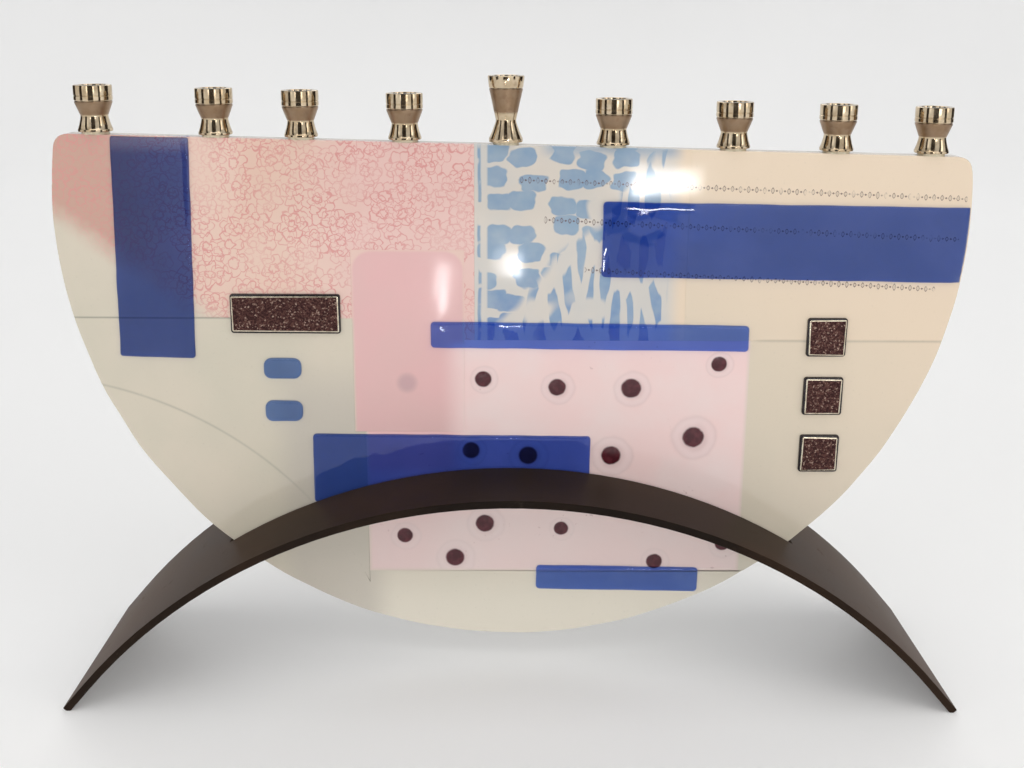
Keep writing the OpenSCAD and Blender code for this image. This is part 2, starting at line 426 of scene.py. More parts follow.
CREAM = tone(213, 203, 186)
WARM_CREAM = tone(228, 209, 186)
SHADE_CREAM = tone(203, 197, 180)
SEAM_GREY = tone(128, 130, 120)
PEACH = tone(226, 194, 178)
PALE_PINK = tone(238, 208, 205)
DEEP_PINK = tone(232, 186, 186)
LINE_RED = tone(214, 142, 140)
LEAF_BLUE = tone(134, 160, 186)
DEEP_LEAF_BLUE = tone(100, 134, 182)
DOT_MAROON = tone(68, 19, 29)
ROW_GREY = tone(104, 84, 82)
GLASS_IOR = 1.5

# %% [markdown]
# Opal glass is milky, so it looks like a glossy solid colour from the front. It is never one
# flat colour, because the powder in it gathers in clouds as it melts. Its surface is smooth
# with long, shallow waves, which a bump gives: each wave is a few tenths of a millimetre
# high and some centimetres long.


# %% The ground colours of opal glass
def glass_waves(finish):
    """The slow waves of a melted surface, with a little ripple on them."""
    return finish.bump(finish.noise(34.0, 1.0) + finish.noise(9.0, 1.0) * 0.07, 0.36)


def opal(finish, colour, roughness=0.07):
    """Close a glass finish: its colour, its waves and a gloss that dulls a little in patches."""
    haze = finish.noise(16.0, 3.0) * 0.07 + roughness - 0.03
    return finish.done(finish.coat({
        "Base Color": colour, "Roughness": haze, "IOR": GLASS_IOR, "Normal": glass_waves(finish),
    }))


def cream_ground(finish, warmth=0.0):
    """Cream glass, warmer towards the top right, with painted light that pales it at the foot and a painted
    shadow of the arch that greys it beside the pink.
    """
    across, _, up = finish.along()
    warm = (across * 0.0035 + up * 0.0045 - 0.55 + warmth).eased(0.0, 1.0)
    clouds = finish.noise(55.0, 4.0).eased(0.3, 0.75)
    ground = finish.blend(clouds, CREAM, SHADE_CREAM)
    # Painted light: paler towards the foot, except at the far left beside the arch.
    painted_light_at_foot = up.eased(62.0, 22.0) * across.eased(-92.0, -48.0)
    ground = finish.blend(painted_light_at_foot * 0.7, ground, tone(232, 226, 212))
    # Painted shadow of the arch: greyer at the lower left, beside the pink sheet.
    painted_arch_shadow = across.eased(-99.0, -84.0) * across.eased(-46.0, -62.0) * up.eased(140.0, 112.0)
    ground = finish.blend(painted_arch_shadow * 0.55, ground, tone(184, 178, 170))
    ground = finish.blend(warm, ground, WARM_CREAM)
    grain = finish.noise(1.3, 2.0).eased(0.62, 0.8)
    return finish.blend(grain * 0.10, ground, SEAM_GREY)


def pink_ground(finish):
    """Pale pink glass with clouds of a stronger pink."""
    across, _, up = finish.along()
    clouds = finish.noise(30.0, 4.0).eased(0.35, 0.72)
    ground = finish.blend(clouds, PALE_PINK, tone(236, 215, 212))
    left = (across * -0.02 - 0.1).eased(0.0, 1.0) * (finish.noise(22.0, 2.0) + 0.2)
    return finish.blend(left.least(1.0) * 0.55, ground, DEEP_PINK)


def band(value, centre, width, soft):
    """1 within a band about a value and 0 outside it, with soft edges."""
    return (value - centre).size().eased(width / 2 + soft, width / 2 - soft)


def away_squared(finish, x, z):
    """The square of the distance from a spot on the front of the glass."""
    across, _, up = finish.along()
    aside, above = across - x, up - z
    return aside * aside + above * above


print("ground colours: cream", [round(v, 2) for v in CREAM], "pink", [round(v, 2) for v in PALE_PINK])

# %% [markdown]
# ### The seams
# Sheets of the same cream glass were butted together, and a thin grey line is left where
# they met: a straight one at each side and a sweep at the lower left.

# %% Seam lines
seam_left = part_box("cream_panel_left")[1].z / MM + 0.1
seam_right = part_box("cream_panel_side")[1].z / MM + 0.1
sweep_middle, sweep_radius = (-198.0, -26.5), 153.5


def seam_lines(finish):
    """The thin grey lines where sheets of the same cream glass were butted together."""
    across, _, up = finish.along()
    straight_left = band(up, seam_left, 0.5, 0.45) * across.eased(-62.0, -84.0)
    straight_right = band(up, seam_right, 0.7, 0.7) * across.eased(94.0, 99.0) * 0.5
    swept = band(away_squared(finish, *sweep_middle).root(), sweep_radius, 0.5, 0.7)
    sweep = swept * up.eased(62.0, 92.0) * 0.6
    return straight_left.most(straight_right).most(sweep) * (finish.noise(11.0, 2.0) * 0.5 + 0.5)


# %% [markdown]
# ### The printed rows
# Three fine rows run across the top right of the glass, pressed in a brownish grey enamel.
# Here they are a plain border of lozenges with dots between. Each row is a line with a
# slope. A wave along it says where a lozenge swells, and the distance from the line cuts it.
# Taking the middle of each lozenge out again leaves a thin outline.


# %% Rows of lozenges
lozenge_beat, lozenge_height = 3.1, 1.9
row_ends = [((2, 205.5), (174, 198.9)), ((12, 190.1), (172, 183.2)), ((28, 170.5), (165, 163.2))]


def lozenge_row(finish, start, end):
    """How much enamel a row leaves at a place. start and end are across and up, in mm."""
    across, _, up = finish.along()
    slope = (end[1] - start[1]) / (end[0] - start[0])
    aside = (up - across * slope - (start[1] - slope * start[0])).size()
    swell = (across * (2 * math.pi / lozenge_beat)).cosine()
    tall = finish.noise(5.5, 1.0) * lozenge_height + lozenge_height * 0.35
    shape = swell * tall - aside * 1.3
    lozenge = shape.eased(-0.05, 0.18) - shape.eased(0.42, 0.70) * 0.75
    dot = (swell * -0.80 - 0.38 - aside).eased(-0.05, 0.15)
    worn = finish.noise(5.0, 3.0).eased(0.30, 0.50)
    inside = band(across, (start[0] + end[0]) / 2, end[0] - start[0], 0.6)
    return lozenge.most(dot) * worn * inside


def printed_rows(finish):
    """All the rows together."""
    upper, middle, lower = [lozenge_row(finish, start, end) for start, end in row_ends]
    return upper.most(middle).most(lower)


print(len(row_ends), "rows of lozenges, each", lozenge_beat, "mm from the next")

# %% [markdown]
# ### The scribbled flowers
# The pink sheet is covered in flowers drawn with one thin line. A Voronoi texture scatters
# their middles. Around each, the distance and the angle are measured, and a line is drawn
# where the distance equals a petal shape that swells and narrows with the angle.


# %% Flowers drawn with a line
def shaken(finish, flat, scale, shift):
    """A flat place moved a little to and fro, so that lines drawn on it tremble."""
    shake = finish.node("ShaderNodeTexNoise", None, {"Vector": flat, "Scale": scale, "Detail": 1.0})
    bent = finish.node(
        "ShaderNodeVectorMath", {"operation": "MULTIPLY_ADD"},
        {0: shake.outputs["Color"], 1: (shift, shift, 0.0), 2: flat},
    )
    return bent.outputs[0]


def flower_lines(finish, cell, offset, petals, weight):
    """Flowers in cells of a size, drawn with a line of a weight, all in millimetres."""
    flat = shaken(finish, finish.shifted_flat(offset), 260.0, 0.0034)
    middles = finish.node(
        "ShaderNodeTexVoronoi", {"voronoi_dimensions": "2D"},
        {"Vector": flat, "Scale": MM_PER_METRE / cell, "Randomness": 0.8},
    )
    away = finish.node(
        "ShaderNodeVectorMath", {"operation": "SUBTRACT"}, {0: flat, 1: middles.outputs["Position"]},
    )
    right, up, _ = finish.along(away.outputs[0])
    reach = (right * right + up * up).root()
    angle = up.math("ARCTAN2", up, right)
    turn = finish.parts(middles.outputs["Color"])[0] * 6.3
    wave = (angle * (petals / 2) + turn).cosine().size()
    outer = cell * 0.36 + wave * (cell * 0.17)
    outline = (reach - outer).size().eased(weight, weight * 0.35)
    heart = (reach - cell * 0.13 - wave * 0.5).size().eased(weight, weight * 0.35)
    between = (wave * reach).eased(weight * 1.1, weight * 0.5)
    between = between * (reach - cell * 0.16).eased(0.0, 0.2) * (outer - reach).eased(0.0, 0.2)
    return outline.most(heart).most(between * 0.8)


def flower_glass():
    """Peach glass with two sizes of flowers, fading to cream along a slant at the lower left."""
    finish = Finish("flower_glass")
    across, _, up = finish.along()
    clouds = finish.noise(38.0, 3.0).eased(0.3, 0.7)
    ground = finish.blend(clouds, PEACH, tone(228, 200, 186))
    right_pink = (across + finish.noise(25.0) * 30.0).eased(-75.0, -35.0)
    ground = finish.blend(right_pink * 0.6, ground, tone(230, 192, 190))
    ground = finish.blend(across.eased(-118.0, -160.0) * 0.9, ground, tone(194, 154, 139))
    large = flower_lines(finish, 10.5, (3.0, 2.0), 6, 0.42)
    small = flower_lines(finish, 8.2, (47.0, 31.0), 5, 0.36)
    lines = large.most(small * 0.8)
    strength = finish.noise(18.0, 2.0).eased(0.25, 0.65) * 0.55 + 0.25
    ground = finish.blend(lines * strength, ground, LINE_RED)
    fade = (across * -0.72 - up + 62.0 + finish.noise(9.0, 2.0) * 10.0).eased(-6.0, 9.0)
    ground = finish.blend(fade, ground, cream_ground(finish))
    ground = finish.blend(seam_lines(finish), ground, SEAM_GREY)
    return opal(finish, ground)


# %% [markdown]
# ### The blue leaves
# The narrow sheet beside the flowers is cream with a blue pattern: pebbles at the upper left
# that turn into slanting blades at the lower right. Both come from a Voronoi texture: a
# pebble is what lies near a cell's middle, and a blade is a stretched cell short of its edges.
# The printed rows start on this sheet.


# %% Pebbles and blades
def cells(finish, width, height, turn):
    """The sheet measured in cells of a given size and slant, with trembling outlines."""
    laid = finish.node(
        "ShaderNodeMapping", None,
        {"Vector": finish.shifted_flat((9.0, 4.0)), "Rotation": (0.0, 0.0, turn),
         "Scale": (MM_PER_METRE / width, MM_PER_METRE / height, 1.0)},
    )
    return shaken(finish, laid.outputs[0], 1.9, 0.42)


def pebbles_and_blades(finish):
    """How blue the sheet is at a place."""
    across, _, up = finish.along()
    nearest_pebble = finish.node(
        "ShaderNodeTexVoronoi", {"voronoi_dimensions": "2D", "distance": "MINKOWSKI"},
        {"Vector": cells(finish, 13.0, 9.5, 0.05), "Scale": 1.0, "Randomness": 0.5, "Exponent": 3.5},
    )
    pebbles = finish.level(nearest_pebble.outputs["Distance"]).eased(0.42, 0.36)
    blade_edges = finish.node(
        "ShaderNodeTexVoronoi", {"voronoi_dimensions": "2D", "feature": "DISTANCE_TO_EDGE"},
        {"Vector": cells(finish, 6.8, 26.0, -0.55), "Scale": 1.0, "Randomness": 0.75},
    )
    blades = finish.level(blade_edges.outputs["Distance"]).eased(0.17, 0.23)
    lower_right = (across - up * 0.9 + 137.0 + finish.noise(14.0) * 10.0).eased(0.0, 5.0)
    pattern = pebbles * (1.0 - lower_right) + blades * lower_right
    return pattern * finish.noise(21.0, 1.0).eased(0.30, 0.37)


def leaf_glass():
    finish = Finish("leaf_glass")
    across, _, up = finish.along()
    clouds = finish.noise(28.0, 3.0).eased(0.3, 0.7)
    ground = finish.blend(clouds, tone(214, 206, 196), tone(203, 201, 197))
    broken = finish.noise(6.0, 1.0).eased(0.42, 0.5)
    line = band(across + finish.noise(12.0) * 2.0, -12.0, 1.2, 0.35) * broken
    tint = finish.blend((up * -0.012 + 2.15).eased(0.0, 0.5), LEAF_BLUE, DEEP_LEAF_BLUE)
    tint = finish.blend(finish.noise(8.0, 2.0).eased(0.4, 0.7) * 0.5, tint, tone(150, 172, 190))
    inside = across.eased(-10.5, -9.5) * across.eased(61.0, 58.0)
    marks = (pebbles_and_blades(finish) * inside).most(line) * (finish.noise(7.0, 2.0) * 0.4 + 0.72)
    near_top = (up + across * 0.02 + finish.noise(13.0) * 5.0).eased(216.5, 220.5)
    smear = near_top * across.eased(8.0, 16.0) * 0.6
    ground = finish.blend(marks.most(smear), ground, tint)
    ground = finish.blend(across.eased(59.0, 66.5), ground, WARM_CREAM)
    ground = finish.blend(printed_rows(finish) * 0.85, ground, ROW_GREY)
    return opal(finish, ground)


# %% [markdown]
# ### The plain sheets
# The cream sheets differ only in warmth and in whether the printed rows cross them. The pink
# tile lies partly under its neighbours, so its corners fade into what surrounds it.


# %% The other sheets
def cream_glass(name, warmth=0.0, rows=False):
    finish = Finish(name)
    ground = cream_ground(finish, warmth)
    if rows:
        ground = finish.blend(printed_rows(finish) * 0.85, ground, ROW_GREY)
    ground = finish.blend(seam_lines(finish), ground, SEAM_GREY)
    return opal(finish, ground)


def pink_glass():
    finish = Finish("pink_glass")
    low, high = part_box("pink_panel")
    across, _, up = finish.along()
    ground = finish.blend(finish.noise(33.0, 3.0).eased(0.3, 0.72), tone(226, 180, 180), tone(222, 182, 180))
    lower = (up * -0.018 + 2.35).eased(0.0, 1.0)
    ground = finish.blend(lower * 0.7, ground, tone(208, 174, 171))
    smudge = away_squared(finish, -41.8, 124.1).eased(26.0, 2.0)
    ground = finish.blend(smudge * 0.45, ground, tone(168, 140, 148))
    corner = 8.0
    aside = (corner - (across - low.x / MM).least(high.x / MM - across)).most(0.0)
    above = (corner - (high.z / MM - up)).most(0.0)
    outside = (corner - (aside * aside + above * above).root()).eased(1.2, -0.5)
    around = finish.blend(up.eased(148.0, 152.0), CREAM, tone(228, 197, 186))
    ground = finish.blend(outside, ground, around)
    beside = across.eased(-30.0, -18.5) * up.eased(143.0, 139.0)
    ground = finish.blend(beside * 0.9, ground, pink_ground(finish))
    return opal(finish, ground)


def base_glass():
    """The thick opal sheet behind. Its back lay on the kiln shelf and keeps a fine dull grain."""
    finish = Finish("base_glass")
    depth = finish.along()[1]
    behind = depth.eased(1.0, 3.9)
    grain = finish.noise(1.6, 3.0) * 0.35 + finish.noise(14.0, 3.0)
    clouds = finish.noise(48.0, 4.0).eased(0.3, 0.7)
    ground = finish.blend(clouds, tone(214, 210, 198), tone(203, 200, 188))
    speck = finish.noise(2.2, 2.0).eased(0.68, 0.76)
    ground = finish.blend(speck * 0.12, ground, SEAM_GREY)
    normal = finish.bump(grain * behind, 0.12, glass_waves(finish))
    return finish.done(finish.coat({
        "Base Color": ground, "Roughness": behind * 0.26 + 0.1, "IOR": GLASS_IOR, "Normal": normal,
    }))


# %% [markdown]
# ### The dotted sheet
# Dark dots lie in the pale pink sheet, and around each the glass has drawn a faint ring. The
# middles and radii of the dots are read from the design, so the rings stay around them.
# Two more dots lie under the middle strip, where only their shade shows through.


# %% Where the dots are
def loose_parts(mesh):
    """The separate solids of a bmesh, each as a list of its vertices."""
    left = set(mesh.verts)
    parts = []
    while left:
        part, edge_of_part = [], [left.pop()]
        while edge_of_part:
            vert = edge_of_part.pop()
            part.append(vert)
            for edge in vert.link_edges:
                other = edge.other_vert(vert)
                if other in left:
                    left.remove(other)
                    edge_of_part.append(other)
        parts.append(part)
    return parts


dots = []
dot_mesh = merged_copy("dark_dots")
for part in loose_parts(dot_mesh):
    left, right = min(v.co.x for v in part), max(v.co.x for v in part)
    radius = (right - left) / 2
    dots.append(((left + right) / 2 / MM, max(v.co.z for v in part) / MM - radius / MM, radius / MM))
dot_mesh.free()
dots.sort()
covered_dots = [(6.5, 93.7, 3.8), (-16.5, 95.8, 3.5)]
radii = [round(radius, 1) for _, _, radius in dots]
print(len(dots), "dots, radius", min(radii), "to", max(radii), "mm")


# %% Rings around the dots
def dotted_ground(finish):
    """The pale pink ground with its rings, which the dots themselves also take at their edges."""
    ground = pink_ground(finish)
    across, _, up = finish.along()
    flat = finish.node("ShaderNodeCombineXYZ", None, {"X": across, "Y": up}).outputs[0]
    wobble = finish.noise(7.0, 1.0) * 0.24 - 0.12
    nearest = None
    for number, (x, z, radius) in enumerate(dots + covered_dots):
        away = finish.node(
            "ShaderNodeVectorMath", {"operation": "DISTANCE"}, {0: flat, 1: (x + 0.4, z - 0.3, 0.0)},
        )
        ring = radius * (1.75 + 0.22 * math.sin(number * 2.3)) + 0.6
        share = finish.level(away.outputs["Value"]) / ring
        nearest = share if nearest is None else nearest.least(share)
    nearest = nearest + wobble
    inner = nearest.eased(1.0, 0.86)
    line = band(nearest, 0.97, 0.06, 0.13)
    ground = finish.blend(inner * 0.35, ground, tone(226, 206, 206))
    ground = finish.blend(line * 0.36, ground, tone(196, 172, 172))
    shade = nearest.eased(0.75, 0.45)
    return finish.blend(shade * 0.30, ground, tone(190, 158, 158))


def dotted_glass():
    """The ground with its rings, the two covered dots, painted shade low down, and what shows through at its
    edges.
    """
    finish = Finish("dotted_glass")
    low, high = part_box("dotted_panel")
    across, _, up = finish.along()
    ground = dotted_ground(finish)
    for x, z, radius in covered_dots:
        spot = away_squared(finish, x, z).eased((radius + 0.4) ** 2, (radius - 0.6) ** 2)
        ground = finish.blend(spot * 0.9, ground, DOT_MAROON)
    carried_on = across.eased(-17.0, -27.0) * up.eased(84.0, 90.0)
    ground = finish.blend(carried_on * 0.9, ground, DEEP_PINK)
    # Painted shade: the sheet is greyer low down, where the arch shades it.
    painted_shade_low_down = (up - 76.0).eased(2.0, -14.0)
    ground = finish.blend(painted_shade_low_down * 0.5, ground, tone(222, 208, 204))
    inside = (across - low.x / MM).least(high.x / MM - across).least(up - low.z / MM)
    ground = finish.blend(inside.eased(1.8, -0.8), ground, tone(216, 203, 190))
    speckle = finish.noise(1.8, 1.0).eased(0.70, 0.76) * finish.noise(26.0, 1.0).eased(0.56, 0.66)
    ground = finish.blend(speckle * 0.35, ground, tone(170, 130, 132))
    return opal(finish, ground)


# %% Glass pieces
sheets = [
    ("floral_panel", "flower_sheet", flower_glass(), "floral_glass"),
    ("pink_panel", "pink_sheet", pink_glass(), "pink_glass"),
    ("dotted_panel", "dotted_sheet", dotted_glass(), "dotted_glass"),
    ("leaf_panel", "leaf_sheet", leaf_glass(), "leaf_glass"),
]
for side, warmth in [("right", 0.25), ("side", 0.1), ("left", -0.1), ("lower", -0.05)]:
    cream = cream_glass("cream_glass_" + side, warmth, rows=side == "right")
    sheets.append(("cream_panel_" + side, "cream_sheet_" + side, cream, "opal_glass"))
for node, name, finish, slot in sheets:
    show(glass_copy(node, face_y), name, "panel", finish, [node])
show(glass_copy("back_sheet", back_y), "base_sheet", "panel", base_glass(), ["back_sheet"])

# %% [markdown]
# ## The blue strips
# Strips of clear cobalt glass were laid on the sheets and melted on. Heat drew their edges
# round and left them a little uneven. The two that reach the rim have slumped over it, thin
# as a film at the end. A copy of each solid is rounded, cut into short lengths so that it
# can bend, and then its vertices near the rim are laid over the round edge.

# %% Melting a strip
strip_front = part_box("blue_strip_middle")[0].y
strip_sink = 0.25 * MM
bend_length = 4 * MM
rim_cuts, rim_cut_step = 7, 0.45 * MM


def cut_across(mesh, spot, direction):
    """Cut the faces of a strip along a plane, so that it can bend there."""
    bmesh.ops.bisect_plane(
        mesh, geom=mesh.verts[:] + mesh.edges[:] + mesh.faces[:], dist=0.02 * MM,
        plane_co=spot, plane_no=direction,
    )


def lay_over_rim(mesh):
    """Bend what reaches the rim over its round edge, thinner and thinner towards the end."""
    bend = rim_round * MM
    for vert in mesh.verts:
        depth, outward = rim_depth(vert.co)
        if depth < bend:
            turn = (1 - max(depth, 0) / bend) * math.pi / 2
            proud = (face_y - vert.co.y) * math.cos(turn) ** 2
            swing = bend + proud - rim_pull(vert.co)
            vert.co += outward * (depth - bend + swing * math.sin(turn))
            vert.co.y = face_y + bend - (bend + proud) * math.cos(turn)


def melted_strip(node, corner, crown):
    """A strip with round corners and a round crown, uneven, and bent over the rim it reaches."""
    mesh = merged_copy(node)
    ends = [
        edge for edge in mesh.edges
        if abs(edge.verts[0].co.y - edge.verts[1].co.y) > 0.5 * MM
        and not on_rim(edge.verts[0].co) and edge.calc_face_angle(0) > 1
    ]
    bevel_edges(mesh, ends, corner, 5)
    front = [
        edge for edge in mesh.edges
        if all(abs(v.co.y - strip_front) < SAME_PLACE for v in edge.verts)
        and not all(on_rim(v.co) for v in edge.verts)
    ]
    bevel_edges(mesh, front, crown, 5)
    low = Vector([min(v.co[i] for v in mesh.verts) for i in range(3)])
    high = Vector([max(v.co[i] for v in mesh.verts) for i in range(3)])
    for axis, direction in ((0, Vector((1, 0, 0))), (2, Vector((0, 0, 1)))):
        for count in range(1, int((high[axis] - low[axis]) / bend_length) + 1):
            cut_across(mesh, low + direction * bend_length * count, direction)
    reaches_rim = any(on_rim(v.co) for v in mesh.verts)
    if reaches_rim:
        reaches_top = high.z > edge_top(low.x) - 1 * MM
        way_out = Vector((-edge_slope, 0, 1)) if reaches_top else Vector((1, 0, 0))
        end = max(v.co.dot(way_out) for v in mesh.verts) / way_out.length_squared
        for count in range(1, rim_cuts + 1):
            cut_across(mesh, way_out * (end - count * rim_cut_step), way_out)
    for vert in mesh.verts:
        spot = vert.co * 60
        if abs(vert.co.y - strip_front) < 0.4 * MM:
            vert.co.y += (0.5 + noise.noise(spot * 0.7)) * 0.10 * MM
        if abs(vert.co.y - face_y) < SAME_PLACE:
            vert.co.y += strip_sink
        if not on_rim(vert.co):
            shift = noise.noise_vector(Vector((spot.x, 0, spot.z)) * 1.6)
            vert.co += Vector((shift.x, 0, shift.z)) * 0.25 * MM
    if reaches_rim:
        lay_over_rim(mesh)
    return mesh


# %% [markdown]
# Clear coloured glass lets the pattern under it show, darker and blue. The finish lets a
# camera ray through as real glass does, bent and tinted. The light that falls on the sheet
# below would be blocked by that, so shadow rays pass straight through a tinted transparent
# shader instead. Where a strip is thin, at its rounded edges and where the upright one runs
# out over the top edge as a film, it is paler.


# %% Cobalt glass
def thinner(tint, share):
    """The tint of a share of the thickness of the glass."""
    return tuple(value ** share for value in tint)


def cobalt_glass(name, tint, streaks=0.3, film_foot=None):
    """Clear blue glass. film_foot is the height, in mm, at which it starts to run out thin."""
    finish = Finish(name)
    shallow = tuple(min(1.0, value * 1.5 + 0.05) for value in tint)
    cloud = finish.noise(24.0, 3.0).eased(0.35, 0.8) * streaks
    colour = finish.blend(cloud, tint, shallow)
    thin = finish.along()[1].eased(strip_front / MM + 0.15, face_y / MM - 0.1)
    colour = finish.blend(thin * 0.6, colour, thinner(tint, 0.75))
    if film_foot is not None:
        film = finish.along()[2].eased(film_foot, film_foot + 6.0)
        colour = finish.blend(film, colour, thinner(tint, 0.5))
    body = finish.coat({
        "Base Color": colour, "Roughness": finish.noise(12.0, 2.0) * 0.05 + 0.02, "IOR": 1.45,
        "Transmission Weight": 1.0,
        "Normal": finish.bump(finish.noise(13.0, 1.0) + finish.noise(4.0) * 0.06, 0.35),
    })
    through = finish.node("ShaderNodeBsdfTransparent", None, {"Color": thinner(tint, 0.5)})
    path = finish.node("ShaderNodeLightPath")
    mixed = finish.node(
        "ShaderNodeMixShader", None,
        {0: path.outputs["Is Shadow Ray"], 1: body.outputs[0], 2: through.outputs[0]},
    )
    return finish.done(mixed)


cobalt = cobalt_glass("cobalt_glass", (0.045, 0.11, 0.55))
film_foot = edge_top(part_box("blue_strip_left")[0].x) / MM - 8.0
deep_cobalt = cobalt_glass("deep_cobalt_glass", (0.045, 0.095, 0.44), film_foot=film_foot)
pale_cobalt = cobalt_glass("pale_cobalt_glass", (0.085, 0.19, 0.78), 0.5)
sky = cobalt_glass("sky_glass", (0.13, 0.25, 0.66), 0.5)
strips = [
    ("blue_strip_left", 1.2, 0.95, deep_cobalt), ("blue_strip_right", 1.5, 0.95, cobalt),
    ("blue_strip_shelf", 1.6, 1.0, pale_cobalt), ("blue_strip_middle", 1.5, 0.95, cobalt),
    ("blue_strip_bottom", 1.7, 1.0, pale_cobalt), ("blue_chip_upper", 3.0, 1.05, sky),
    ("blue_chip_lower", 3.0, 1.05, sky),
]
for node, corner, crown, finish in strips:
    strip = melted_strip(node, corner, crown)
    show(strip, node + "_melted", "panel", finish, [node], 40, False)

# %% [markdown]
# ## The dark dots
# A dot is a drop of dark glass that has sunk into the sheet. It stands only a third of a
# millimetre proud, as a shallow lens. Its profile is spun about its own axis. A number kept
# on every vertex, from 0 in the middle to 1 at the rim, lets its colour melt into the sheet.


# %% Dots
def turned(profile, centre, axis, steps, level_name, levels):
    """Spin a profile once round. It holds pairs of distance from the axis and way along it."""
    mesh = bmesh.new()
    layer = mesh.verts.layers.float.new(level_name)
    out = Vector((1, 0, 0))
    chain = [mesh.verts.new(centre + out * radius + axis * along) for radius, along in profile]
    for vert, value in zip(chain, levels):
        vert[layer] = value
    edges = [mesh.edges.new(pair) for pair in zip(chain, chain[1:])]
    bmesh.ops.spin(
        mesh, geom=chain + edges, cent=centre, axis=axis, angle=2 * math.pi, steps=steps,
        use_merge=True, use_duplicate=False,
    )
    bmesh.ops.remove_doubles(mesh, verts=mesh.verts, dist=0.005 * MM)
    bmesh.ops.recalc_face_normals(mesh, faces=mesh.faces)
    return mesh


def joined(meshes):
    """One bmesh out of several."""
    whole = bmesh.new()
    for mesh in meshes:
        data = bpy.data.meshes.new("part_of_a_whole")
        mesh.to_mesh(data)
        mesh.free()
        whole.from_mesh(data)
        bpy.data.meshes.remove(data)
    return whole


def dot_glass():
    finish = Finish("dot_glass")
    share = finish.kept("share")
    ragged = share + finish.noise(2.4, 1.0) * 0.12 - 0.06
    centre = finish.blend(finish.noise(2.5, 2.0).eased(0.35, 0.7), DOT_MAROON, tone(88, 34, 43))
    colour = finish.blend(ragged.eased(0.80, 1.0), centre, dotted_ground(finish))
    return opal(finish, colour, 0.2)


shares = [0, 0.2, 0.4, 0.55, 0.68, 0.8, 0.9, 1.0]
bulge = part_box("dark_dots")[0].y - face_y
lens_depth = 0.1 * MM
lenses = []
for x, z, radius in dots:
    widest = (radius + 0.35) * MM
    profile = [(widest * s, bulge * (1 - s * s) * 0.96 + 0.02 * MM * s) for s in shares]
    profile += [(widest, lens_depth), (0, lens_depth)]
    middle = Vector((x * MM, face_y, z * MM))
    lenses.append(turned(profile, middle, Vector((0, 1, 0)), 40, "share", shares + [1.0, 0.0]))
show(joined(lenses), "dark_drops", "panel", dot_glass(), ["dark_dots"], 40, False)

# %% [markdown]
# ## The metallic tiles
# Each is a chip of black glass with a metallic coating on top. The cutter left a bright
# bevelled rim, and inside it the coating is crinkled and glitters. Two pieces make one tile:
# the black base is the solid with rounded edges, and the cap is its front face, set in a
# little, raised, and bevelled.


# %% Metallic tiles
def black_glass():
    finish = Finish("black_glass")
    colour = finish.blend(finish.noise(3.0, 2.0).eased(0.4, 0.7), tone(18, 13, 16), tone(42, 32, 36))
    return opal(finish, colour, 0.12)


def glitter_metal():
    """Silver on the cut rim, purple brown and crinkled on the face."""
    finish = Finish("glitter_metal")
    rim = finish.kept("rim")
    grain_size = {"Vector": finish.place, "Scale": MM_PER_METRE / 0.62}
    grains = finish.node("ShaderNodeTexVoronoi", None, grain_size)
    sparkle = finish.parts(grains.outputs["Color"])[0]
    crinkle = finish.noise(0.8, 3.0, roughness=0.7)
    face = finish.blend(sparkle.eased(0.25, 0.9), tone(52, 26, 27), tone(92, 60, 54))
    face = finish.blend(crinkle.eased(0.52, 0.7), face, tone(104, 72, 64))
    face = finish.blend((sparkle * crinkle).eased(0.44, 0.54), face, tone(172, 148, 134))
    bright = finish.blend(finish.noise(2.5, 3.0).eased(0.35, 0.7), tone(236, 226, 204), tone(200, 186, 164))
    colour = finish.blend(rim, face, bright)
    bumps = finish.bump((crinkle + sparkle * 0.4) * (1.0 - rim * 0.9), 0.13)
    return finish.done(finish.coat({
        "Base Color": colour, "Metallic": rim * 0.2 + 0.75,
        "Roughness": finish.noise(1.5) * 0.2 + 0.30 - rim * 0.12, "Normal": bumps,
    }))


def tile_base(node, cap_front):
    """The black glass of a tile, up to where its cap lies."""
    mesh = merged_copy(node)
    upright = [e for e in mesh.edges if abs(e.verts[0].co.y - e.verts[1].co.y) > 1 * MM]
    bevel_edges(mesh, upright, 1.1, 4)
    for vert in mesh.verts:
        if vert.co.y < face_y - 0.5 * MM:
            vert.co.y = cap_front + 0.35 * MM
        else:
            vert.co.y = face_y + 0.3 * MM
    front = [e for e in mesh.edges if all(v.co.y < face_y - 0.5 * MM for v in e.verts)]
    bevel_edges(mesh, front, 0.6, 4)
    for vert in mesh.verts:
        shift = noise.noise_vector(Vector((vert.co.x, 0, vert.co.z)) * 160)
        vert.co += Vector((shift.x, 0, shift.z)) * 0.16 * MM
    return mesh


